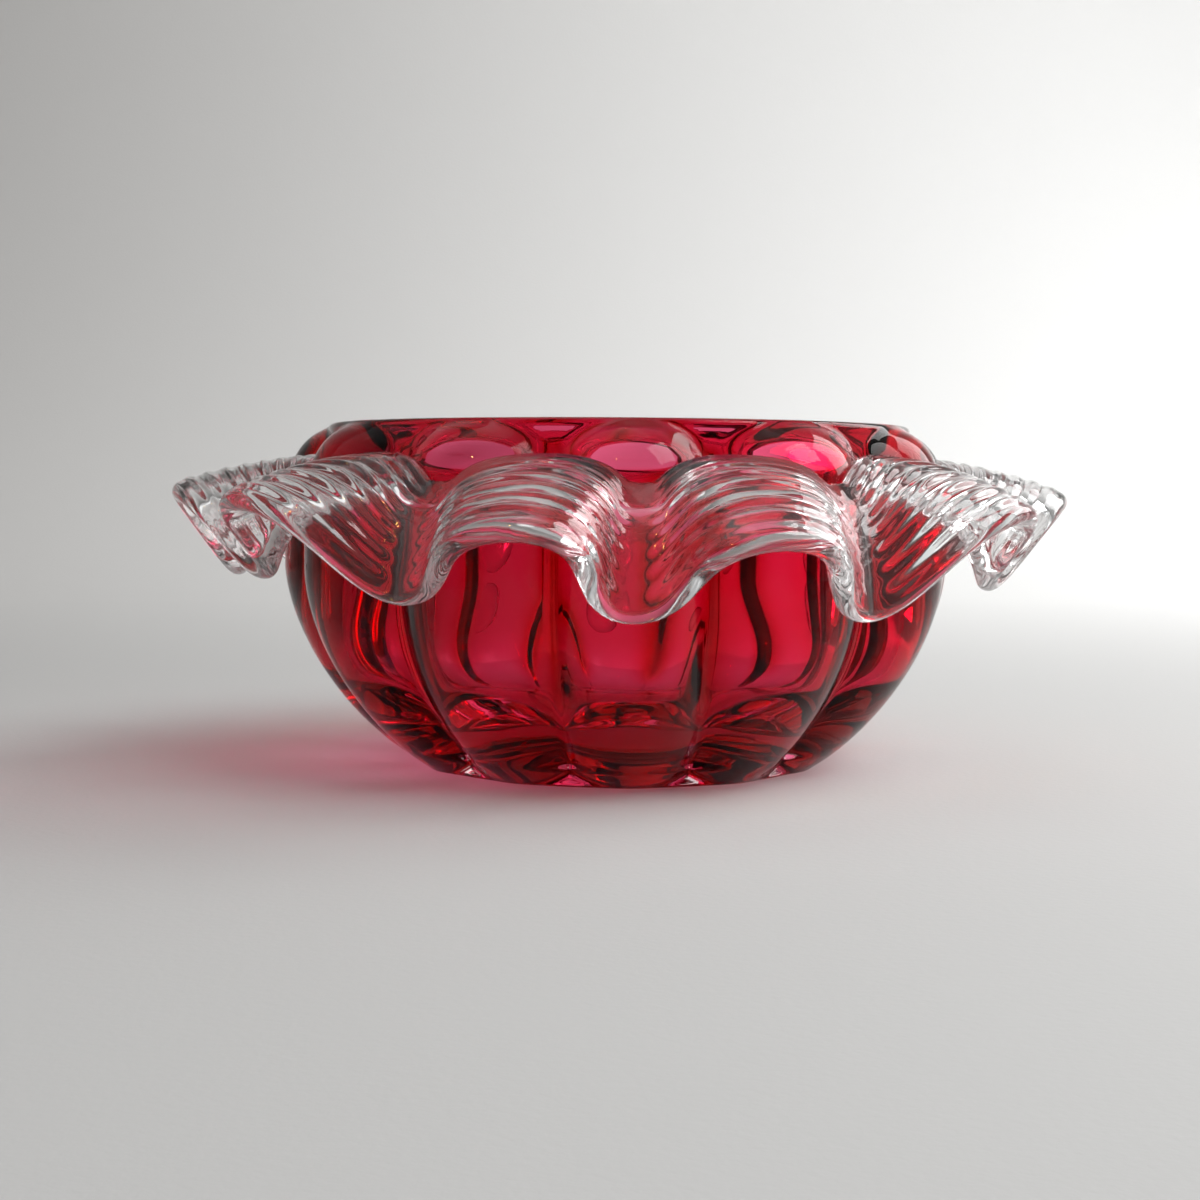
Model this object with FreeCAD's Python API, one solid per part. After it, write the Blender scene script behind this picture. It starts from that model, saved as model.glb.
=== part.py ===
import FreeCAD, Part
import math
import os

# Cased cranberry finger bowl: a thin ruby lining inside a thick clear casing with
# twelve moulded lobes, and a clear frilled collar laid round the shoulder.
# Millimetres, +Z up, origin at the middle of the base. Angles are measured round +Z
# from -Y, where the middle of lobe 0 lies, towards +X.

# Bowl
HEIGHT = 56.0
NECK_RADIUS = 48.4
RIM_ROUNDING = 0.9
BASE_RADIUS = 33.6
LOBES = 12

# Valleys between the lobes: they rise from a short upright foot, lean outwards, and stand
# upright again above this height
VALLEY_FOOT_HEIGHT = 4.0
VALLEY_FOOT_FLARE = 0.5
VALLEY_UPRIGHT_FROM = 30.0
VALLEY_CURVE = 2.1

# How many degrees each valley is turned round the bowl from its even place, grown between
# these heights: valley k lies half a lobe past lobe k
VALLEY_TURNS = (-2.3, 0.0, 0.9, -0.7, 0.5, -0.4, 0.8, -0.6, 0.3, -0.8, 0.0, 0.6)
VALLEY_TURNS_FROM = 5.0
VALLEY_TURNS_FULL = 22.0

# Lobe crests: widest at this height, drawn in to the base and to the shoulder
CREST_RADIUS = 56.0
CREST_WIDEST_AT = 33.0
CREST_FOOT_RADIUS = 33.2
CREST_FOOT_CURVE = 1.7
CREST_FOOT_FULLNESS = 1.3
SHOULDER_BELOW_RIM = 0.4
SHOULDER_END_RADIUS = 46.0
SHOULDER_CURVE = 4.5
LOBE_ENDS_ROUND_BELOW = 3.0
LOBE_ENDS_ROUND_ABOVE = 40.0
VALLEY_FILLET = 1.7

# Inside of the bowl. The walls are those of clear glass and lining together.
WALL_AT_RIM = 2.6
WALL_AT_CREST = 6.2
LINING = 1.0
LINING_FLOOR_SHARE = 0.5
LINING_RIM_ROUNDING = 0.6
FLOOR_HEIGHT = 8.5
FLOOR_CORNER_RADIUS = 18.5

# The inside swells out behind each lobe and leaves a rounded ridge behind each valley. The
# swelling grows from the floor and dies away under the rim.
INNER_RIDGE_ROUNDNESS = 0.3
INNER_LOBES_START_ABOVE_FLOOR = 0.5
INNER_LOBES_FULL_ABOVE_FLOOR = 9.0
INNER_LOBES_FADE_BELOW_RIM = 9.0
INNER_LOBES_END_BELOW_RIM = 3.0

# Extra thickness of the lining along the ridge behind each valley
LINING_RIDGE = 2.2

# Ground pontil mark in the middle of the base
PONTIL_RADIUS = 11.0
PONTIL_DEPTH = 0.7

# Frilled collar. Its crests stand over the valleys, its troughs hang over the lobes.
FRILL_SEAT_CLEARANCE = 0.15
FRILL_ROOT_THICKNESS = 4.2
FRILL_LIP_THICKNESS = 3.3
FRILL_CREST_RADIUS = 72.0
FRILL_TROUGH_RADIUS = 63.6
FRILL_CREST_ROOT_HEIGHT = 48.6
FRILL_TROUGH_ROOT_HEIGHT = 44.8
FRILL_CREST_BEND_RADIUS = 61.0
FRILL_TROUGH_BEND_RADIUS = 61.5
FRILL_CREST_BEND_BELOW_ROOT = 0.4
FRILL_TROUGH_BEND_BELOW_ROOT = 3.0
FRILL_RIBS = 8
FRILL_RIB_HEIGHT = 0.18
FRILL_UNDERSIDE_RIB_HEIGHT = 0.15

# The ribs die away down the slopes: shares of the way from a trough to a crest
FRILL_RIBS_FADE_FROM = 0.15
FRILL_RIBS_FULL_FROM = 0.4

# How far the slopes between trough and crest are folded upright, and how far they crowd
# towards the troughs at the root and at the lip, as shares of the pitch
FRILL_FOLD = 0.034
FRILL_ROOT_PINCH = 0.09
FRILL_LIP_PINCH = 0.038

# Height of the lip's middle at each trough and each crest, and how many degrees each of them
# leans round the bowl, drawn by hand on the real bowl and so uneven: trough k hangs at
# k lobes from the front, crest k half a lobe on
FRILL_TROUGH_HEIGHTS = (29.2, 28.9, 32.0, 31.4, 32.0, 31.0, 32.2, 31.2, 31.8, 32.4, 33.4, 31.0)
FRILL_CREST_HEIGHTS = (39.4, 42.5, 44.0, 44.0, 44.6, 43.8, 44.4, 43.9, 44.8, 44.8, 43.9, 40.4)
FRILL_TROUGH_LEANS = (-1.5, 0.0, 0.5, 0.5, -0.5, 0.5, 0.0, -0.5, 0.5, 0.0, -0.5, -1.5)
FRILL_CREST_LEANS = (-0.5, 6.0, 1.0, 1.0, -1.0, 1.5, 0.0, -1.5, 1.0, 0.0, -7.0, 0.5)

# Fineness of the modelled surfaces
STEPS_PER_LOBE = 20
BODY_ROWS = 56
CAVITY_WALL_ROWS = 30
CAVITY_CORNER_ROWS = 30
RIM_ROWS = 6
POLES_PER_RIB = 4
UNDERSIDE_POLES = 12
LIP_POLES = 5
ROOT_POLES = 5

LOBE_PITCH = 2 * math.pi / LOBES
HALF_PITCH = LOBE_PITCH / 2
CAVITY_RADIUS = NECK_RADIUS - WALL_AT_RIM
INNER_LOBE_DEPTH = CREST_RADIUS - WALL_AT_CREST - CAVITY_RADIUS


def within(value, low, high):
    """How far value lies from low to high: 0 at low and before it, 1 at high and past it."""
    return min(1.0, max(0.0, (value - low) / (high - low)))


def in_turn(values, count):
    """The value for one of the lobes, from a list that starts again where it ends."""
    return values[count % len(values)]


def blend(low, high, share):
    """From low to high as share goes from 0 to 1, level at both ends."""
    return low + (high - low) * (1 - math.cos(math.pi * share)) / 2


def larger(a, b, fillet):
    """The larger of a and b, with the corner between them rounded."""
    return (a + b + math.sqrt((a - b) ** 2 + fillet ** 2)) / 2


def around(radius, angle, height):
    return FreeCAD.Vector(radius * math.sin(angle), -radius * math.cos(angle), height)


def valley_radius(height):
    """Radius of the round body, which shows as the valleys, the neck and the foot."""
    above = within(height, VALLEY_FOOT_HEIGHT, VALLEY_UPRIGHT_FROM)
    foot = BASE_RADIUS + VALLEY_FOOT_FLARE * within(height, 0, VALLEY_FOOT_HEIGHT)
    radius = foot + (NECK_RADIUS - foot) * (1 - (1 - above) ** VALLEY_CURVE)
    into_rounding = max(0.0, height - (HEIGHT - RIM_ROUNDING))
    return radius - RIM_ROUNDING + math.sqrt(max(0.0, RIM_ROUNDING ** 2 - into_rounding ** 2))


def crest_radius(height):
    """Radius of a lobe along its middle."""
    if height < CREST_WIDEST_AT:
        below = (CREST_WIDEST_AT - height) / CREST_WIDEST_AT
        fullness = (1 - below ** CREST_FOOT_CURVE) ** (1 / CREST_FOOT_FULLNESS)
        return CREST_FOOT_RADIUS + (CREST_RADIUS - CREST_FOOT_RADIUS) * fullness
    span = HEIGHT - SHOULDER_BELOW_RIM - CREST_WIDEST_AT
    above = min(1.0, (height - CREST_WIDEST_AT) / span)
    fullness = math.sqrt(1 - above ** SHOULDER_CURVE)
    return SHOULDER_END_RADIUS + (CREST_RADIUS - SHOULDER_END_RADIUS) * fullness


def lobe_centre(height):
    """Distance from the axis to the middle of the arc that a lobe's section follows.
    The arcs of neighbouring lobes meet in the valley, except near both ends."""
    height = min(max(height, LOBE_ENDS_ROUND_BELOW), LOBE_ENDS_ROUND_ABOVE)
    crest = crest_radius(height)
    valley = valley_radius(height)
    return (crest ** 2 - valley ** 2) / (2 * (crest - valley * math.cos(HALF_PITCH)))


def even_angle(angle, height):
    """Where an angle would lie if the valleys were spaced evenly."""
    angle = angle % (2 * math.pi)
    grown = blend(0, 1, within(height, VALLEY_TURNS_FROM, VALLEY_TURNS_FULL))
    ahead = [
        (k + 0.5) * LOBE_PITCH + math.radians(in_turn(VALLEY_TURNS, k % LOBES))
        for k in range(-1, LOBES + 1)
    ]
    behind = max(k for k in range(LOBES + 1) if ahead[k] <= angle)
    share = within(angle, ahead[behind], ahead[behind + 1])
    evenly = (behind - 0.5 + share) * LOBE_PITCH
    return angle + (evenly - angle) * grown


def body_radius(angle, height):
    """Outer radius of the casing."""
    from_crest = (even_angle(angle, height) + HALF_PITCH) % LOBE_PITCH - HALF_PITCH
    centre = lobe_centre(height)
    arc = crest_radius(height) - centre
    under_root = arc ** 2 - (centre * math.sin(from_crest)) ** 2
    valley = valley_radius(height)
    if arc <= 0 or under_root <= 0:
        return valley
    lobe = centre * math.cos(from_crest) + math.sqrt(under_root)
    lowest = valley - 2 * VALLEY_FILLET
    smoothed = larger(valley, max(lobe, lowest), VALLEY_FILLET)
    return smoothed - (larger(valley, lowest, VALLEY_FILLET) - valley)


def closed_knots(poles):
    return [1] * (poles + 1), list(range(poles + 1))


def clamped_knots(poles):
    inner = poles - 4
    return [4] + [1] * inner + [4], list(range(inner + 2))


def smooth_surface(rows, rows_close):
    """A cubic surface whose rows each run right round. The rows close too, or are clamped."""
    row_mults, row_knots = closed_knots(len(rows)) if rows_close else clamped_knots(len(rows))
    round_mults, round_knots = closed_knots(len(rows[0]))
    surface = Part.BSplineSurface()
    surface.buildFromPolesMultsKnots(
        rows, row_mults, round_mults, row_knots, round_knots, rows_close, True, 3, 3
    )
    return surface


def solid_of(faces):
    solid = Part.Solid(Part.Shell(faces))
    if solid.Volume < 0:
        solid.reverse()
    return solid


def capped(rows):
    """The solid inside a wall of closed rows, with a flat face over each end."""
    wall = smooth_surface(rows, False).toShape()
    ends = [e for e in wall.Edges if e.BoundBox.ZLength < 1e-3]
    caps = [Part.Face(Part.Wire([e])) for e in ends]
    shell = Part.makeShell([wall] + caps)
    shell.sewShape()
    solid = Part.Solid(shell)
    if solid.Volume < 0:
        solid.reverse()
    return solid


def round_angles():
    steps = LOBES * STEPS_PER_LOBE
    return [2 * math.pi * k / steps for k in range(steps)]


def lobed_blank():
    """The casing before its inside is hollowed out."""
    rows = []
    for k in range(BODY_ROWS + 1):
        height = HEIGHT * (1 - math.cos(math.pi * k / BODY_ROWS)) / 2
        rows.append([around(body_radius(a, height), a, height) for a in round_angles()])
    return capped(rows)


def inner_lobes(angle, height, offset):
    """How far the inside swells out behind a lobe. The lining is thicker behind each valley,
    by a ridge that stands on its inner side only."""
    wave = math.cos(even_angle(angle, height) * LOBES / 2)
    soft = INNER_RIDGE_ROUNDNESS
    swell = (math.sqrt(wave ** 2 + soft ** 2) - soft) / (math.sqrt(1 + soft ** 2) - soft)
    ridge = LINING_RIDGE * (1 - offset / LINING) * (1 - swell) ** 3
    start = FLOOR_HEIGHT + INNER_LOBES_START_ABOVE_FLOOR
    full = FLOOR_HEIGHT + INNER_LOBES_FULL_ABOVE_FLOOR
    fade = HEIGHT - INNER_LOBES_FADE_BELOW_RIM
    end = HEIGHT - INNER_LOBES_END_BELOW_RIM
    lower = blend(0, 1, within(height, start, full))
    upper = blend(1, 0, within(height, fade, end))
    return (INNER_LOBE_DEPTH * swell - ridge) * lower * upper


def cavity(offset, rim_rounding=0):
    """The inside of the bowl, larger by offset and open at the top. The lining gets thinner
    towards the floor, so there the offset is a share of what it is at the wall."""
    wall = CAVITY_RADIUS + offset
    floor = FLOOR_HEIGHT - LINING_FLOOR_SHARE * offset
    corner = FLOOR_CORNER_RADIUS + offset
    profile = []
    for k in range(CAVITY_CORNER_ROWS + 1):
        turn = math.pi / 2 * k / CAVITY_CORNER_ROWS
        r = wall - corner + corner * math.sin(turn)
        profile.append((r, floor + corner * (1 - math.cos(turn))))
    rim_foot = HEIGHT - rim_rounding
    for k in range(1, CAVITY_WALL_ROWS + 1):
        z = floor + corner + (rim_foot - floor - corner) * k / CAVITY_WALL_ROWS
        profile.append((wall, z))
    if rim_rounding > 0:
        for k in range(1, RIM_ROWS + 1):
            turn = math.pi / 2 * k / RIM_ROWS
            r = wall + rim_rounding * (1 - math.cos(turn))
            profile.append((r, rim_foot + rim_rounding * math.sin(turn)))
    profile.append((wall + rim_rounding, HEIGHT + RIM_ROUNDING))
    rows = []
    for r, z in profile:
        rows.append([around(r + inner_lobes(a, z, offset), a, z) for a in round_angles()])
    return capped(rows)


def pontil_mark():
    ball = (PONTIL_RADIUS ** 2 + PONTIL_DEPTH ** 2) / (2 * PONTIL_DEPTH)
    return Part.makeSphere(ball, FreeCAD.Vector(0, 0, PONTIL_DEPTH - ball))


def clear_casing():
    return lobed_blank().cut(cavity(LINING)).cut(pontil_mark())


def ruby_lining():
    below_rim = Part.makeCylinder(CREST_RADIUS, HEIGHT)
    return cavity(LINING).common(below_rim).cut(cavity(0, LINING_RIM_ROUNDING))


def seat_radius(angle, height):
    return body_radius(angle, height) + FRILL_SEAT_CLEARANCE


def frill_middle(angle, t):
    """A point halfway through the collar's thickness, t of the way from its root to its lip."""
    place = (angle / LOBE_PITCH) % LOBES
    crest = int(place)
    phase = place - crest
    trough = crest if phase < 0.5 else (crest + 1) % LOBES
    share = 1 - abs(2 * phase - 1)
    turned = angle + FRILL_FOLD * LOBE_PITCH * math.sin(4 * math.pi * phase)
    pinch = FRILL_ROOT_PINCH + (FRILL_LIP_PINCH - FRILL_ROOT_PINCH) * t
    turned -= pinch * LOBE_PITCH * math.sin(2 * math.pi * phase)
    trough_lean = in_turn(FRILL_TROUGH_LEANS, trough)
    crest_lean = in_turn(FRILL_CREST_LEANS, crest)
    turned += math.radians(blend(trough_lean, crest_lean, share)) * t
    root_z = blend(FRILL_TROUGH_ROOT_HEIGHT, FRILL_CREST_ROOT_HEIGHT, share)
    root_r = seat_radius(turned, root_z)
    bend_r = blend(FRILL_TROUGH_BEND_RADIUS, FRILL_CREST_BEND_RADIUS, share)
    bend_z = root_z - blend(FRILL_TROUGH_BEND_BELOW_ROOT, FRILL_CREST_BEND_BELOW_ROOT, share)
    lip_r = blend(FRILL_TROUGH_RADIUS, FRILL_CREST_RADIUS, share)
    trough_height = in_turn(FRILL_TROUGH_HEIGHTS, trough)
    crest_height = in_turn(FRILL_CREST_HEIGHTS, crest)
    lip_z = blend(trough_height, crest_height, share)
    r = (1 - t) ** 2 * root_r + 2 * t * (1 - t) * bend_r + t ** 2 * lip_r
    z = (1 - t) ** 2 * root_z + 2 * t * (1 - t) * bend_z + t ** 2 * lip_z
    return around(r, turned, z)


def frill_directions(angle, t):
    """Unit vectors at a point of the middle surface: upward through it, and outward along it."""
    small = 1e-4
    outward = frill_middle(angle, t + small) - frill_middle(angle, t - small)
    onward = frill_middle(angle + small, t) - frill_middle(angle - small, t)
    upward = outward.cross(onward).normalize()
    return upward, onward.cross(upward).normalize()


def kept_off_casing(point):
    angle = math.atan2(point.x, -point.y)
    least = seat_radius(angle, point.z)
    return around(max(math.hypot(point.x, point.y), least), angle, point.z)


def frill_side(angle, t, sign, rib_height):
    half = (FRILL_ROOT_THICKNESS + (FRILL_LIP_THICKNESS - FRILL_ROOT_THICKNESS) * t) / 2
    share = 1 - abs(2 * ((angle / LOBE_PITCH) % 1) - 1)
    rib_share = blend(0, 1, within(share, FRILL_RIBS_FADE_FROM, FRILL_RIBS_FULL_FROM))
    half += rib_height * rib_share * math.sin(math.pi * FRILL_RIBS * t) ** 2
    upward, _ = frill_directions(angle, t)
    return kept_off_casing(frill_middle(angle, t) + upward * (sign * half))


def frill_section(angle):
    """A closed ring of points through the collar: out along the ribbed upper side, round the
    lip, back under it and up the root on the casing."""
    upper_poles = FRILL_RIBS * POLES_PER_RIB
    points = []
    for k in range(upper_poles + 1):
        points.append(frill_side(angle, k / upper_poles, 1, FRILL_RIB_HEIGHT))
    lip_half = FRILL_LIP_THICKNESS / 2
    upward, outward = frill_directions(angle, 1)
    for k in range(1, LIP_POLES):
        turn = math.pi * k / LIP_POLES
        across = outward * (lip_half * math.sin(turn)) + upward * (lip_half * math.cos(turn))
        points.append(frill_middle(angle, 1) + across)
    for k in range(UNDERSIDE_POLES + 1):
        t = 1 - k / UNDERSIDE_POLES
        points.append(frill_side(angle, t, -1, FRILL_UNDERSIDE_RIB_HEIGHT))
    foot, head = points[-1], points[0]
    for k in range(1, ROOT_POLES):
        point = foot + (head - foot) * (k / ROOT_POLES)
        seat_angle = math.atan2(point.x, -point.y)
        points.append(around(seat_radius(seat_angle, point.z), seat_angle, point.z))
    return points


def frill_collar():
    sections = [frill_section(a) for a in round_angles()]
    return solid_of([smooth_surface(sections, True).toShape()])


PARTS = {
    "ruby_lining": ruby_lining,
    "clear_casing": clear_casing,
    "frill_collar": frill_collar,
}

os.makedirs("parts", exist_ok=True)
for name, make in PARTS.items():
    shape = make()
    box = shape.BoundBox
    print(
        name, shape.ShapeType, "solids", len(shape.Solids), "valid", shape.isValid(),
        "volume %.1f" % shape.Volume,
        "box %.2f %.2f %.2f" % (box.XLength, box.YLength, box.ZLength),
    )
    shape.exportStep("parts/%s.step" % name)
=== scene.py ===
import math

import bpy
import numpy as np
from mathutils import Matrix, Vector


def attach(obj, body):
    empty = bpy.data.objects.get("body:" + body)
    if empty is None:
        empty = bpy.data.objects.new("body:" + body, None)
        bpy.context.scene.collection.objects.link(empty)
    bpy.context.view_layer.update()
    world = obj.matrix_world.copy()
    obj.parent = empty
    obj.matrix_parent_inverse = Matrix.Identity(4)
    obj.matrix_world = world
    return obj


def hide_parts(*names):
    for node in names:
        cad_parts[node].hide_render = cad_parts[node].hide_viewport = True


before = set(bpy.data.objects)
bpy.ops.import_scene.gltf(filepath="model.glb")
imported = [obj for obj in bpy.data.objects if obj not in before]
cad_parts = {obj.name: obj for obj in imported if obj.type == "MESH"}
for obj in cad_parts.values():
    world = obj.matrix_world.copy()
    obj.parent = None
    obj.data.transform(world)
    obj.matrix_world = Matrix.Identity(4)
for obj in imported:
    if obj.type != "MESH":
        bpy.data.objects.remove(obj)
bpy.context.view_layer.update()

# The sizes of the bowl are in millimetres, those of the stage in metres. Angles round the
# bowl are measured from -Y, where the middle of lobe 0 lies, towards +X.
MM = 0.001

# Bowl
HEIGHT = 56.0
NECK_RADIUS = 48.4
RIM_ROUNDING = 0.9
BASE_RADIUS = 33.6
LOBES = 12

# Valleys between the lobes: they rise from a short upright foot, lean outwards, and stand
# upright again above this height
VALLEY_FOOT_HEIGHT = 4.0
VALLEY_FOOT_FLARE = 0.5
VALLEY_UPRIGHT_FROM = 30.0
VALLEY_CURVE = 2.1

# How many degrees each valley is turned round the bowl from its even place, grown between
# these heights: valley k lies half a lobe past lobe k
VALLEY_TURNS = (-2.3, 0.0, 0.9, -0.7, 0.5, -0.4, 0.8, -0.6, 0.3, -0.8, 0.0, 0.6)
VALLEY_TURNS_FROM = 5.0
VALLEY_TURNS_FULL = 22.0

# Lobe crests: widest at this height, drawn in to the base and to the shoulder
CREST_RADIUS = 56.0
CREST_WIDEST_AT = 33.0
CREST_FOOT_RADIUS = 33.2
CREST_FOOT_CURVE = 1.7
CREST_FOOT_FULLNESS = 1.3
SHOULDER_BELOW_RIM = 0.4
SHOULDER_END_RADIUS = 46.0
SHOULDER_CURVE = 4.5
LOBE_ENDS_ROUND_BELOW = 3.0
LOBE_ENDS_ROUND_ABOVE = 40.0
VALLEY_FILLET = 1.7

# Inside of the bowl. The walls are those of clear glass and lining together.
WALL_AT_RIM = 2.6
WALL_AT_CREST = 6.2
LINING = 1.0
LINING_FLOOR_SHARE = 0.5
LINING_RIM_ROUNDING = 0.6
FLOOR_HEIGHT = 8.5
FLOOR_CORNER_RADIUS = 18.5

# The lining reaches into the casing at the rim too, so its top lies this far below the rim, out
# of the plane of the casing's
LINING_BELOW_RIM = 0.04

# The inside swells out behind each lobe and leaves a rounded ridge behind each valley. The
# swelling grows from the floor and dies away under the rim.
INNER_RIDGE_ROUNDNESS = 0.3
INNER_LOBES_START_ABOVE_FLOOR = 0.5
INNER_LOBES_FULL_ABOVE_FLOOR = 9.0
INNER_LOBES_FADE_BELOW_RIM = 9.0
INNER_LOBES_END_BELOW_RIM = 3.0

# Extra thickness of the lining along the ridge behind each valley
LINING_RIDGE = 2.2

# Ground base with its pontil mark
PONTIL_RADIUS = 11.0
PONTIL_DEPTH = 0.7
PONTIL_EDGE = 0.3
BASE_FACE_INSET = 1.6
BASE_EDGE_INSET = 1.2
BASE_EDGE_HEIGHT = 0.5

# Frilled collar. Its crests stand over the valleys, its troughs hang over the lobes.
FRILL_ROOT_THICKNESS = 4.2
FRILL_LIP_THICKNESS = 3.3
FRILL_CREST_RADIUS = 72.0
FRILL_TROUGH_RADIUS = 63.6
FRILL_CREST_ROOT_HEIGHT = 48.6
FRILL_TROUGH_ROOT_HEIGHT = 44.8
FRILL_CREST_BEND_RADIUS = 61.0
FRILL_TROUGH_BEND_RADIUS = 61.5
FRILL_CREST_BEND_BELOW_ROOT = 0.4
FRILL_TROUGH_BEND_BELOW_ROOT = 3.0

# Rings along each arch, crest by crest. They die away down the slopes: the last two are
# shares of the way from a trough to a crest.
FRILL_RIBS = 8
FRILL_RIB_HEIGHTS = (0.2, 0.42, 0.3, 0.3, 0.3, 0.3, 0.3, 0.3, 0.3, 0.3, 0.42, 0.2)
FRILL_UNDERSIDE_RIB_HEIGHTS = (0.15,) * LOBES
FRILL_RIBS_FADE_FROM = 0.05
FRILL_RIBS_FULL_FROM = 0.3

# How far the slopes between trough and crest are folded upright, and how far they crowd
# towards the troughs at the root and at the lip, as shares of the pitch
FRILL_FOLD = 0.034
FRILL_ROOT_PINCH = 0.09
FRILL_LIP_PINCH = 0.038

# Height of the lip's middle at each trough and each crest, and how many degrees each of them
# leans round the bowl: trough k hangs at k lobes from the front, crest k half a lobe on
FRILL_TROUGH_HEIGHTS = (29.2, 28.9, 32.0, 31.4, 32.0, 31.0, 32.2, 31.2, 31.8, 32.4, 33.4, 31.0)
FRILL_CREST_HEIGHTS = (39.4, 42.5, 44.0, 44.0, 44.6, 43.8, 44.4, 43.9, 44.8, 44.8, 43.9, 40.4)
FRILL_TROUGH_LEANS = (-1.5, 0.0, 0.5, 0.5, -0.5, 0.5, 0.0, -0.5, 0.5, 0.0, -0.5, -1.5)
FRILL_CREST_LEANS = (-0.5, 6.0, 1.0, 1.0, -1.0, 1.5, 0.0, -1.5, 1.0, 0.0, -7.0, 0.5)

LOBE_PITCH = 2 * math.pi / LOBES
HALF_PITCH = LOBE_PITCH / 2
CAVITY_RADIUS = NECK_RADIUS - WALL_AT_RIM
INNER_LOBE_DEPTH = CREST_RADIUS - WALL_AT_CREST - CAVITY_RADIUS

# Where two layers of glass are fused, their faces overlap by this much, so that no film of
# air silvers the joint
FUSED_OVERLAP = 0.08

# Fineness of the meshes. The smallest ring lies round the middle of a floor or base. The rows
# of the casing are given for each part of its height: from, to and how many.
STEPS_PER_LOBE = 32
ANGLES = np.arange(LOBES * STEPS_PER_LOBE) * LOBE_PITCH / STEPS_PER_LOBE
SMALLEST_RING = 0.6
BASE_RINGS = 8
BASE_EDGE_TURNS = (0, 30, 60)
CASING_ROWS = (
    (BASE_EDGE_HEIGHT, 9.0, 22),
    (9.0, 44.0, 44),
    (44.0, HEIGHT - RIM_ROUNDING, 36),
)
RIM_ROWS = 7
CAVITY_WALL_ROWS = 30
CAVITY_CORNER_ROWS = 36
CAVITY_FLOOR_ROWS = 10
FRILL_ROWS_PER_RIB = 8
FRILL_LIP_ROWS = 14
FRILL_UNDERSIDE_ROWS = 24
FRILL_ROOT_ROWS = 8


def ease(share):
    return (1 - np.cos(np.pi * share)) / 2


def blend(low, high, share):
    return low + (high - low) * ease(share)


def valley_radius(height):
    span = VALLEY_UPRIGHT_FROM - VALLEY_FOOT_HEIGHT
    below = np.clip((VALLEY_UPRIGHT_FROM - height) / span, 0, 1)
    foot = BASE_RADIUS + VALLEY_FOOT_FLARE * np.clip(height / VALLEY_FOOT_HEIGHT, 0, 1)
    radius = foot + (NECK_RADIUS - foot) * (1 - below ** VALLEY_CURVE)
    into = np.clip(height - (HEIGHT - RIM_ROUNDING), 0, RIM_ROUNDING)
    return radius - RIM_ROUNDING + np.sqrt(np.maximum(0.0, RIM_ROUNDING ** 2 - into ** 2))


def crest_radius(height):
    below = np.clip((CREST_WIDEST_AT - height) / CREST_WIDEST_AT, 0, 1)
    fullness = (1 - below ** CREST_FOOT_CURVE) ** (1 / CREST_FOOT_FULLNESS)
    lower = CREST_FOOT_RADIUS + (CREST_RADIUS - CREST_FOOT_RADIUS) * fullness
    span = HEIGHT - SHOULDER_BELOW_RIM - CREST_WIDEST_AT
    above = np.clip((height - CREST_WIDEST_AT) / span, 0, 1)
    closing = np.sqrt(1 - above ** SHOULDER_CURVE)
    upper = SHOULDER_END_RADIUS + (CREST_RADIUS - SHOULDER_END_RADIUS) * closing
    return np.where(height < CREST_WIDEST_AT, lower, upper)


def larger(a, b, fillet):
    """The larger of two radii, with the corner between them rounded."""
    return (a + b + np.sqrt((a - b) ** 2 + fillet ** 2)) / 2


def even_angle(angle, height):
    """Where the angle would lie if the lobes were all of one width."""
    span = VALLEY_TURNS_FULL - VALLEY_TURNS_FROM
    share = np.clip((height - VALLEY_TURNS_FROM) / span, 0, 1)
    count = np.arange(-1, LOBES + 1)
    even = (count + 0.5) * LOBE_PITCH
    turned = even + np.radians(np.take(VALLEY_TURNS, count % LOBES))
    moved = np.interp(angle % (2 * math.pi), turned, even)
    return blend(angle % (2 * math.pi), moved, share)


def body_radius(angle, height):
    """Outside of the casing. Each lobe is an arc of a circle in plan, through its crest and
    its two valleys, and a fillet joins the arcs."""
    angle, height = np.broadcast_arrays(np.asarray(angle, float), np.asarray(height, float))
    from_crest = (even_angle(angle, height) + HALF_PITCH) % LOBE_PITCH - HALF_PITCH
    even = np.clip(height, LOBE_ENDS_ROUND_BELOW, LOBE_ENDS_ROUND_ABOVE)
    crest, valley = crest_radius(even), valley_radius(even)
    centre = (crest ** 2 - valley ** 2) / (2 * (crest - valley * math.cos(HALF_PITCH)))
    arc = crest_radius(height) - centre
    under_root = arc ** 2 - (centre * np.sin(from_crest)) ** 2
    valley = valley_radius(height)
    no_lobe = (arc <= 0) | (under_root <= 0)
    lobe = centre * np.cos(from_crest) + np.sqrt(np.maximum(under_root, 0))
    lowest = valley - 2 * VALLEY_FILLET
    smoothed = larger(valley, np.maximum(lobe, lowest), VALLEY_FILLET)
    smoothed = smoothed - (larger(valley, lowest, VALLEY_FILLET) - valley)
    return np.where(no_lobe, valley, smoothed)


def inner_lobes(angle, height, offset):
    """How far the inside swells out behind each lobe. The lining is thicker behind each valley,
    by a ridge that stands on its inner side only."""
    wave = np.cos(even_angle(angle, height) * LOBES / 2)
    soft = INNER_RIDGE_ROUNDNESS
    swell = (np.sqrt(wave ** 2 + soft ** 2) - soft) / (math.sqrt(1 + soft ** 2) - soft)
    ridge = LINING_RIDGE * (1 - offset / LINING) * (1 - swell) ** 3
    start, full = INNER_LOBES_START_ABOVE_FLOOR, INNER_LOBES_FULL_ABOVE_FLOOR
    lower = np.clip((height - FLOOR_HEIGHT - start) / (full - start), 0, 1)
    end, fade = INNER_LOBES_END_BELOW_RIM, INNER_LOBES_FADE_BELOW_RIM
    upper = np.clip((HEIGHT - end - height) / (fade - end), 0, 1)
    return (INNER_LOBE_DEPTH * swell - ridge) * ease(lower) * ease(upper)


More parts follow.
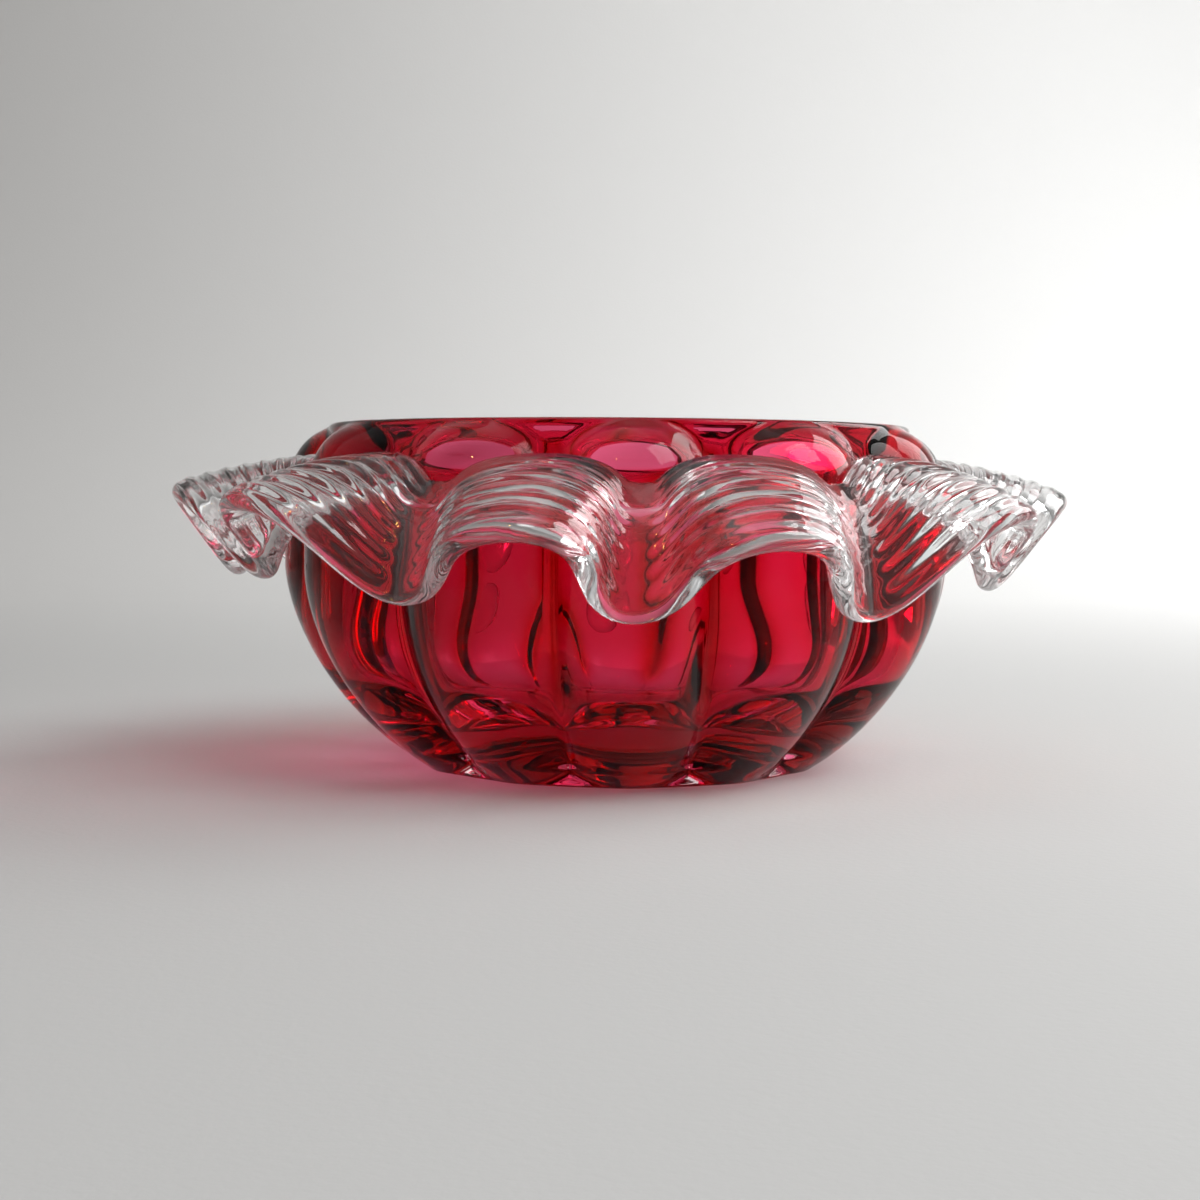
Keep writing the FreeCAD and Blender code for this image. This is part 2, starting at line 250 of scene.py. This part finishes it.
def around(radius, angle, height):
    radius, angle, height = np.broadcast_arrays(radius, angle, height)
    return np.stack([radius * np.sin(angle), -radius * np.cos(angle), height], axis=-1)


def ring(radius, height):
    return around(radius, ANGLES, height)


def arc_points(centre, radius, start, stop, count):
    """Points of an arc in the (r, z) plane, angles in degrees from +r."""
    turn = np.radians(np.linspace(start, stop, count))
    return [(centre[0] + radius * math.cos(a), centre[1] + radius * math.sin(a)) for a in turn]


def line_points(start, stop, count):
    return [tuple(p) for p in np.linspace(start, stop, count)]


def mesh_object(name, verts, faces):
    mesh = bpy.data.meshes.new(name)
    mesh.from_pydata((np.asarray(verts) * MM).tolist(), [], faces)
    mesh.validate()
    mesh.shade_smooth()
    obj = bpy.data.objects.new(name, mesh)
    bpy.context.scene.collection.objects.link(obj)
    return obj


def quads(rows, columns, rows_close):
    """Faces of a grid whose rows each run right round, facing outwards for rows that climb."""
    last = rows if rows_close else rows - 1
    r = np.arange(last)[:, None]
    c = np.arange(columns)[None, :]
    r2, c2 = (r + 1) % rows, (c + 1) % columns
    corners = [r * columns + c, r * columns + c2, r2 * columns + c2, r2 * columns + c]
    return np.stack(corners, axis=-1).reshape(-1, 4).tolist()


def turned_solid(name, rings, fused_rows, fused_ends):
    """A closed solid from rings of points, from the middle of its underside, up outside it, and
    down inside to the middle of its floor. The first and last entries are single points. The
    bands of faces in fused_rows, and the fans at the ends, touch another layer of glass."""
    body = np.stack(rings[1:-1])
    rows, columns = body.shape[:2]
    verts = np.concatenate([body.reshape(-1, 3), [rings[0], rings[-1]]])
    faces = quads(rows, columns, False)
    fused = np.repeat(np.isin(np.arange(rows - 1), list(fused_rows)), columns).tolist()
    start, stop, last = rows * columns, rows * columns + 1, (rows - 1) * columns
    for c in range(columns):
        faces.append((start, (c + 1) % columns, c))
    for c in range(columns):
        faces.append((stop, last + c, last + (c + 1) % columns))
    fused += [fused_ends[0]] * columns + [fused_ends[1]] * columns
    obj = mesh_object(name, verts, faces)
    mark = obj.data.attributes.new("fused", "FLOAT", "FACE")
    mark.data.foreach_set("value", np.array(fused, np.float32))
    return obj


def cavity_profile(offset, top):
    """(r, z) from the wall's top down to the floor's middle, which is left out."""
    wall = CAVITY_RADIUS + offset
    corner = FLOOR_CORNER_RADIUS + offset
    floor = FLOOR_HEIGHT - LINING_FLOOR_SHARE * offset
    centre = (wall - corner, floor + corner)
    points = line_points((wall, top), (wall, centre[1]), CAVITY_WALL_ROWS)[:-1]
    points += arc_points(centre, corner, 0, -90, CAVITY_CORNER_ROWS)
    points += line_points((centre[0], floor), (SMALLEST_RING, floor), CAVITY_FLOOR_ROWS)[1:]
    return points


def clear_casing():
    ball = (PONTIL_RADIUS ** 2 + PONTIL_DEPTH ** 2) / (2 * PONTIL_DEPTH)
    rings = [np.array([0, 0, PONTIL_DEPTH])]
    for r in np.linspace(SMALLEST_RING, PONTIL_RADIUS, BASE_RINGS):
        rings.append(ring(r, PONTIL_DEPTH - ball + math.sqrt(ball ** 2 - r ** 2)))
    for r in np.linspace(PONTIL_RADIUS + PONTIL_EDGE, BASE_RADIUS - BASE_FACE_INSET, BASE_RINGS):
        rings.append(ring(r, 0))
    foot = BASE_RADIUS - BASE_EDGE_INSET
    edge = body_radius(ANGLES, BASE_EDGE_HEIGHT)
    for turn in np.radians(BASE_EDGE_TURNS):
        r = foot + (edge - foot) * math.sin(turn)
        rings.append(ring(r, BASE_EDGE_HEIGHT * (1 - math.cos(turn))))
    heights = [BASE_EDGE_HEIGHT]
    for low, high, count in CASING_ROWS:
        heights += list(np.linspace(low, high, count)[1:])
    rounding = np.sin(np.linspace(0, math.pi / 2, RIM_ROWS)[1:])
    heights += list(HEIGHT - RIM_ROUNDING + RIM_ROUNDING * rounding)
    for z in heights:
        rings.append(ring(body_radius(ANGLES, z), z))
    outside = len(rings) - 1
    for r, z in cavity_profile(LINING, HEIGHT):
        rings.append(ring(r + inner_lobes(ANGLES, z, LINING), z))
    rings.append(np.array([0, 0, FLOOR_HEIGHT - LINING_FLOOR_SHARE * LINING]))
    return turned_solid("clear_casing_glass", rings, range(outside, len(rings)), (0, 1))


def ruby_lining():
    top = HEIGHT - LINING_BELOW_RIM
    outer = LINING + FUSED_OVERLAP
    outside = cavity_profile(outer, top)[::-1]
    centre = (CAVITY_RADIUS + LINING_RIM_ROUNDING, top - LINING_RIM_ROUNDING)
    inside = arc_points(centre, LINING_RIM_ROUNDING, 90, 180, RIM_ROWS)[:-1]
    inside += cavity_profile(0, top - LINING_RIM_ROUNDING)
    rings = [np.array([0, 0, FLOOR_HEIGHT - LINING_FLOOR_SHARE * outer])]
    rings += [ring(r + inner_lobes(ANGLES, z, LINING), z) for r, z in outside]
    rings += [ring(r + inner_lobes(ANGLES, z, 0), z) for r, z in inside]
    rings.append(np.array([0, 0, FLOOR_HEIGHT]))
    return turned_solid("ruby_lining_glass", rings, range(len(outside) - 1), (1, 0))


def frill_middle(angle, t):
    """Points midway through the collar's thickness, for t from 0 at the root to 1 at the lip."""
    angle, t = np.broadcast_arrays(np.asarray(angle, float), np.asarray(t, float))
    place = (angle / LOBE_PITCH) % LOBES
    crest = np.minimum(place.astype(int), LOBES - 1)
    phase = place - crest
    trough = np.where(phase < 0.5, crest, (crest + 1) % LOBES)
    share = 1 - np.abs(2 * phase - 1)
    pinch = FRILL_ROOT_PINCH + (FRILL_LIP_PINCH - FRILL_ROOT_PINCH) * t
    turned = angle + FRILL_FOLD * LOBE_PITCH * np.sin(4 * np.pi * phase)
    turned = turned - pinch * LOBE_PITCH * np.sin(2 * np.pi * phase)
    lean = blend(np.take(FRILL_TROUGH_LEANS, trough), np.take(FRILL_CREST_LEANS, crest), share)
    turned = turned + np.radians(lean) * t
    root_z = blend(FRILL_TROUGH_ROOT_HEIGHT, FRILL_CREST_ROOT_HEIGHT, share)
    root_r = body_radius(turned, root_z) - FUSED_OVERLAP
    bend_r = blend(FRILL_TROUGH_BEND_RADIUS, FRILL_CREST_BEND_RADIUS, share)
    bend_z = root_z - blend(FRILL_TROUGH_BEND_BELOW_ROOT, FRILL_CREST_BEND_BELOW_ROOT, share)
    lip_r = blend(FRILL_TROUGH_RADIUS, FRILL_CREST_RADIUS, share)
    lip_z = blend(np.take(FRILL_TROUGH_HEIGHTS, trough), np.take(FRILL_CREST_HEIGHTS, crest), share)
    r = (1 - t) ** 2 * root_r + 2 * t * (1 - t) * bend_r + t ** 2 * lip_r
    z = (1 - t) ** 2 * root_z + 2 * t * (1 - t) * bend_z + t ** 2 * lip_z
    return around(r, turned, z)


def frill_directions(angle, t):
    """Upright to the collar's middle surface, and along it away from the bowl."""
    small = 1e-4
    outward = frill_middle(angle, t + small) - frill_middle(angle, t - small)
    onward = frill_middle(angle + small, t) - frill_middle(angle - small, t)
    upward = np.cross(outward, onward)
    upward /= np.linalg.norm(upward, axis=-1, keepdims=True)
    across = np.cross(onward, upward)
    return upward, across / np.linalg.norm(across, axis=-1, keepdims=True)


def kept_off_casing(points):
    angle = np.arctan2(points[..., 0], -points[..., 1])
    radius = np.hypot(points[..., 0], points[..., 1])
    least = body_radius(angle, points[..., 2]) - FUSED_OVERLAP
    return around(np.maximum(radius, least), angle, points[..., 2])


def frill_side(t, sign, rib_heights):
    """One ring of points on the collar's upper side (sign 1) or underside (sign -1)."""
    half = (FRILL_ROOT_THICKNESS + (FRILL_LIP_THICKNESS - FRILL_ROOT_THICKNESS) * t) / 2
    place = ANGLES / LOBE_PITCH
    share = 1 - np.abs(2 * (place % 1) - 1)
    span = FRILL_RIBS_FULL_FROM - FRILL_RIBS_FADE_FROM
    rib = np.take(rib_heights, place.astype(int) % LOBES)
    rib = rib * ease(np.clip((share - FRILL_RIBS_FADE_FROM) / span, 0, 1))
    half = half + rib * np.sin(np.pi * FRILL_RIBS * t) ** 2
    upward, _ = frill_directions(ANGLES, t)
    return kept_off_casing(frill_middle(ANGLES, t) + upward * (sign * half)[:, None])


def frill_collar():
    upper_rows = FRILL_RIBS * FRILL_ROWS_PER_RIB
    rows = [frill_side(k / upper_rows, 1, FRILL_RIB_HEIGHTS) for k in range(upper_rows + 1)]
    lip_half = FRILL_LIP_THICKNESS / 2
    upward, outward = frill_directions(ANGLES, 1.0)
    for k in range(1, FRILL_LIP_ROWS):
        turn = math.pi * k / FRILL_LIP_ROWS
        across = outward * (lip_half * math.sin(turn)) + upward * (lip_half * math.cos(turn))
        rows.append(frill_middle(ANGLES, 1.0) + across)
    for k in range(FRILL_UNDERSIDE_ROWS + 1):
        t = 1 - k / FRILL_UNDERSIDE_ROWS
        rows.append(frill_side(t, -1, FRILL_UNDERSIDE_RIB_HEIGHTS))
    foot, head = rows[-1], rows[0]
    for k in range(1, FRILL_ROOT_ROWS):
        point = foot + (head - foot) * (k / FRILL_ROOT_ROWS)
        angle = np.arctan2(point[:, 0], -point[:, 1])
        rows.append(around(body_radius(angle, point[:, 2]) - FUSED_OVERLAP, angle, point[:, 2]))
    grid = np.stack(rows[::-1])
    faces = quads(grid.shape[0], grid.shape[1], True)
    return mesh_object("frill_collar_glass", grid.reshape(-1, 3), faces)


# Glass. Each bump is the scale of its noise, its depth in metres, and the scale along each
# axis. Gloss is the share kept of what glass mirrors, less in the bowl, so that the ruby stays
# deep. The last value is the share of a lamp's light that each surface lets through.
GLASS_IOR = 1.5
BODY_GLOSS = (0.22, 0.22, 0.22, 1)
FRILL_GLOSS = (1, 1, 1, 1)
FRILL_ROUGHNESS = 0.06
CASING_BUMP = (60, 0.0004, (1, 1, 0.35))
LINING_BUMP = (45, 0.0005, (1, 1, 0.25))
FRILL_BUMP = (110, 0.0005, (1, 1, 1))
RUBY_COLOUR = (0.908, 0.065, 0.37)
RUBY_DENSITY = 2550
LAMP_LIGHT_KEPT = (0.79, 0.79, 0.79, 1)


def node_material(name):
    material = bpy.data.materials.new(name)
    material.use_nodes = True
    nodes = material.node_tree.nodes
    return material, nodes, material.node_tree.links, nodes["Principled BSDF"]


def smooth_step(nodes, links, value, span, low, high):
    """A node that climbs from low to high while the value crosses the span."""
    step = nodes.new("ShaderNodeMapRange")
    step.interpolation_type = "SMOOTHSTEP"
    step.inputs["From Min"].default_value, step.inputs["From Max"].default_value = span
    step.inputs["To Min"].default_value = low
    step.inputs["To Max"].default_value = high
    links.new(value, step.inputs["Value"])
    return step.outputs["Result"]


def hand_worked_bump(nodes, links, shader, scale, depth, stretch):
    """Soft noise pressed into the surface."""
    coordinates = nodes.new("ShaderNodeTexCoord")
    mapping = nodes.new("ShaderNodeMapping")
    mapping.inputs["Scale"].default_value = stretch
    links.new(coordinates.outputs["Object"], mapping.inputs["Vector"])
    noise = nodes.new("ShaderNodeTexNoise")
    noise.inputs["Scale"].default_value = scale
    noise.inputs["Detail"].default_value = 1.0
    links.new(mapping.outputs["Vector"], noise.inputs["Vector"])
    bump = nodes.new("ShaderNodeBump")
    bump.inputs["Strength"].default_value = 1.0
    bump.inputs["Distance"].default_value = depth
    links.new(noise.outputs["Fac"], bump.inputs["Height"])
    links.new(bump.outputs["Normal"], shader.inputs["Normal"])


def no_bend_where_fused(nodes, links, shader):
    """Faces marked as fused lie against another layer of glass, so light goes straight on."""
    mark = nodes.new("ShaderNodeAttribute")
    mark.attribute_name = "fused"
    bend = nodes.new("ShaderNodeMapRange")
    bend.inputs["To Min"].default_value = GLASS_IOR
    bend.inputs["To Max"].default_value = 1.0
    links.new(mark.outputs["Fac"], bend.inputs["Value"])
    links.new(bend.outputs["Result"], shader.inputs["IOR"])


def lamps_shine_through(nodes, links, shader):
    """Lets the light of lamps through to the floor and to the glass behind."""
    clear = nodes.new("ShaderNodeBsdfTransparent")
    clear.inputs["Color"].default_value = LAMP_LIGHT_KEPT
    path = nodes.new("ShaderNodeLightPath")
    either = nodes.new("ShaderNodeMixShader")
    links.new(path.outputs["Is Shadow Ray"], either.inputs["Fac"])
    links.new(shader.outputs["BSDF"], either.inputs[1])
    links.new(clear.outputs["BSDF"], either.inputs[2])
    links.new(either.outputs["Shader"], nodes["Material Output"].inputs["Surface"])


def glass(name, gloss, bump, roughness=0.0, fused=False):
    material, nodes, links, shader = node_material(name)
    shader.inputs["Base Color"].default_value = (1, 1, 1, 1)
    shader.inputs["Transmission Weight"].default_value = 1.0
    shader.inputs["Roughness"].default_value = roughness
    shader.inputs["IOR"].default_value = GLASS_IOR
    shader.inputs["Specular Tint"].default_value = gloss
    if fused:
        no_bend_where_fused(nodes, links, shader)
    hand_worked_bump(nodes, links, shader, *bump)
    lamps_shine_through(nodes, links, shader)
    return material


def tinted(material, colour, density):
    """Glass coloured through its thickness."""
    nodes, links = material.node_tree.nodes, material.node_tree.links
    volume = nodes.new("ShaderNodeVolumeAbsorption")
    volume.inputs["Color"].default_value = (*colour, 1)
    volume.inputs["Density"].default_value = density
    links.new(volume.outputs["Volume"], nodes["Material Output"].inputs["Volume"])
    return material


def dress(obj, node, material):
    obj.data.materials.append(material)
    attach(obj, "root")
    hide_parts(node)


CLEAR = glass("clear_glass", BODY_GLOSS, CASING_BUMP, fused=True)
RUBY = tinted(glass("ruby_glass", BODY_GLOSS, LINING_BUMP, fused=True), RUBY_COLOUR, RUBY_DENSITY)
FRILL = glass("frill_glass", FRILL_GLOSS, FRILL_BUMP, FRILL_ROUGHNESS)

dress(clear_casing(), "clear_casing", CLEAR)
dress(ruby_lining(), "ruby_lining", RUBY)
dress(frill_collar(), "frill_collar", FRILL)


# Pale sheet under and behind the bowl. It lies a little below the base, so that the ground
# face mirrors the light inside the glass. Its colour holds painted shade: it is darker to the
# left, away from the window on the right, and darker on its floor in front than up its wall.
FLOOR_GAP = 0.0002
SHEET_HALF_WIDTH = 2.2
SHEET_FRONTS = (-1.2, -0.4, 0.0)
SHEET_BACK = 0.75
SHEET_TOP = 1.6
SHEET_SWEEP_RADIUS = 0.35
SHEET_SWEEP_STEPS = 24
# Painted shade and light: the sheet's colour at its left, shaded, and at its right, lit, and where
# it changes between them
SHEET_PAINTED_SHADE_LEFT = (0.64, 0.63, 0.615, 1)
SHEET_PAINTED_LIGHT_RIGHT = (0.96, 0.96, 0.95, 1)
SHEET_PAINTED_SHADE_SPAN = (-0.52, 0.38)
# Painted shade on the floor: how dark it is in front, and where it brightens to the full colour of
# the wall
FLOOR_PAINTED_SHADE = 0.62
FLOOR_PAINTED_SHADE_SPAN = (0.05, 0.60)
SHEET_ROUGHNESS = 0.9
SHEET_SHINE = 0.1
SHEET_GRAIN = 900
SHEET_GRAIN_DEPTH = 0.00004


def sheet_material():
    material, nodes, links, shader = node_material("pale_sheet_painted_shade")
    shader.inputs["Roughness"].default_value = SHEET_ROUGHNESS
    shader.inputs["Specular IOR Level"].default_value = SHEET_SHINE
    place = nodes.new("ShaderNodeTexCoord")
    split = nodes.new("ShaderNodeSeparateXYZ")
    links.new(place.outputs["Object"], split.inputs["Vector"])
    painted_shade_tone = nodes.new("ShaderNodeMix")
    painted_shade_tone.data_type = "RGBA"
    painted_shade_tone.inputs["A"].default_value = SHEET_PAINTED_SHADE_LEFT
    painted_shade_tone.inputs["B"].default_value = SHEET_PAINTED_LIGHT_RIGHT
    # Painted shade: the colour darkens towards the left, away from the window on the right
    across = smooth_step(nodes, links, split.outputs["X"], SHEET_PAINTED_SHADE_SPAN, 0.0, 1.0)
    links.new(across, painted_shade_tone.inputs["Factor"])
    shaded = nodes.new("ShaderNodeVectorMath")
    shaded.operation = "SCALE"
    # Painted shade: the floor darkens towards the front
    shade = smooth_step(nodes, links, split.outputs["Y"], FLOOR_PAINTED_SHADE_SPAN, FLOOR_PAINTED_SHADE, 1.0)
    links.new(painted_shade_tone.outputs["Result"], shaded.inputs["Vector"])
    links.new(shade, shaded.inputs["Scale"])
    links.new(shaded.outputs["Vector"], shader.inputs["Base Color"])
    noise = nodes.new("ShaderNodeTexNoise")
    noise.inputs["Scale"].default_value = SHEET_GRAIN
    bump = nodes.new("ShaderNodeBump")
    bump.inputs["Distance"].default_value = SHEET_GRAIN_DEPTH
    links.new(place.outputs["Object"], noise.inputs["Vector"])
    links.new(noise.outputs["Fac"], bump.inputs["Height"])
    links.new(bump.outputs["Normal"], shader.inputs["Normal"])
    return material


def backdrop():
    radius = SHEET_SWEEP_RADIUS
    profile = [(y, 0.0) for y in (*SHEET_FRONTS, SHEET_BACK - radius)]
    for k in range(1, SHEET_SWEEP_STEPS + 1):
        a = math.pi / 2 * k / SHEET_SWEEP_STEPS
        profile.append((SHEET_BACK - radius + radius * math.sin(a), radius - radius * math.cos(a)))
    profile.append((SHEET_BACK, SHEET_TOP))
    verts, faces = [], []
    for y, z in profile:
        verts += [(-SHEET_HALF_WIDTH, y, z - FLOOR_GAP), (SHEET_HALF_WIDTH, y, z - FLOOR_GAP)]
    for k in range(len(profile) - 1):
        faces.append((2 * k, 2 * k + 1, 2 * k + 3, 2 * k + 2))
    mesh = bpy.data.meshes.new("backdrop")
    mesh.from_pydata(verts, [], faces)
    mesh.shade_smooth()
    mesh.materials.append(sheet_material())
    obj = bpy.data.objects.new("backdrop", mesh)
    bpy.context.scene.collection.objects.link(obj)


# Lamps: place, point aimed at, width and height, and power. The window behind on the right
# lights the sheet. The one in front on the right casts the shadow, and isn't seen through the
# glass. The warm lamp only glints.
WINDOW_RIGHT = ((0.66, 0.22, 0.45), (0.0, 0.05, 0.0), (0.5, 0.6), 4.6)
WINDOW_FRONT = ((0.36, -0.22, 0.52), (0.0, 0.0, 0.0), (0.3, 0.32), 2.3)
TOP_LIGHT = ((-0.1, 0.1, 1.3), (0.0, 0.0, 0.0), (0.8, 0.8), 1.0)
WARM_LAMP = ((-0.55, -0.8, 1.0), (0.0, 0.0, 0.0), (0.05, 0.05), 1.0)
WARM_COLOUR = (1.0, 0.55, 0.12)


def softbox(name, place, aim, size, power, colour=(1, 1, 1)):
    light = bpy.data.lights.new(name, "AREA")
    light.shape = "RECTANGLE"
    light.size, light.size_y = size
    light.energy = power
    light.color = colour
    obj = bpy.data.objects.new(name, light)
    bpy.context.scene.collection.objects.link(obj)
    obj.location = place
    obj.rotation_mode = "QUATERNION"
    obj.rotation_quaternion = (Vector(aim) - Vector(place)).to_track_quat("-Z", "Y")
    return obj


# Room: how bright it is low down in front of the bowl, high up behind it, and where the
# camera sees past the sheet
ROOM_BRIGHT_SIDE = (0.0, 0.75, 0.66)
ROOM_SPAN = (-0.6, 0.5)
ROOM_LOW = 0.16
ROOM_HIGH = 0.45
ROOM_BEHIND = 0.62


def room():
    world = bpy.data.worlds.new("room")
    bpy.context.scene.world = world
    world.use_nodes = True
    nodes, links = world.node_tree.nodes, world.node_tree.links
    place = nodes.new("ShaderNodeTexCoord")
    toward = nodes.new("ShaderNodeVectorMath")
    toward.operation = "DOT_PRODUCT"
    toward.inputs[1].default_value = ROOM_BRIGHT_SIDE
    links.new(place.outputs["Generated"], toward.inputs[0])
    light = smooth_step(nodes, links, toward.outputs["Value"], ROOM_SPAN, ROOM_LOW, ROOM_HIGH)
    path = nodes.new("ShaderNodeLightPath")
    seen = nodes.new("ShaderNodeMix")
    seen.inputs["B"].default_value = ROOM_BEHIND
    links.new(path.outputs["Is Camera Ray"], seen.inputs["Factor"])
    links.new(light, seen.inputs["A"])
    links.new(seen.outputs["Result"], nodes["Background"].inputs["Strength"])
    nodes["Background"].inputs["Color"].default_value = (1, 1, 1, 1)


backdrop()
softbox("window_right", *WINDOW_RIGHT)
softbox("top_light", *TOP_LIGHT)
softbox("window_front", *WINDOW_FRONT).visible_transmission = False
softbox("warm_lamp", *WARM_LAMP, WARM_COLOUR).visible_diffuse = False
room()

# Camera: lengths in metres, angles in radians. The bowl's axis lies to the right of the
# picture's middle by this many pixels, and the bowl is turned a little to the camera.
FOCAL_PIXELS = 1843
PICTURE_PIXELS = 1200
SENSOR_WIDTH = 36
NEAREST = 0.01
DISTANCE = 0.3119
CAMERA_HEIGHT = 0.0472
PITCH = 0.0657
ROLL = 0.0068
AXIS_RIGHT_OF_MIDDLE = 18.3
BOWL_TURN = math.radians(3.46)

camera = bpy.data.objects.new("camera", bpy.data.cameras.new("camera"))
bpy.context.scene.collection.objects.link(camera)
bpy.context.scene.camera = camera
camera.data.sensor_width = SENSOR_WIDTH
camera.data.lens = FOCAL_PIXELS / PICTURE_PIXELS * SENSOR_WIDTH
camera.data.clip_start = NEAREST
yaw = math.atan(AXIS_RIGHT_OF_MIDDLE / FOCAL_PIXELS)
stand = Matrix.Rotation(-BOWL_TURN, 4, "Z") @ Matrix.Translation((0, -DISTANCE, CAMERA_HEIGHT))
aim = Matrix.Rotation(yaw, 4, "Z") @ Matrix.Rotation(-ROLL, 4, "Y")
camera.matrix_world = stand @ aim @ Matrix.Rotation(math.pi / 2 - PITCH, 4, "X")

scene = bpy.context.scene
scene.view_settings.view_transform = "Standard"
scene.cycles.max_bounces = 48
scene.cycles.transmission_bounces = 48
scene.cycles.glossy_bounces = 8
scene.cycles.diffuse_bounces = 4
scene.cycles.volume_bounces = 0
scene.cycles.transparent_max_bounces = 16
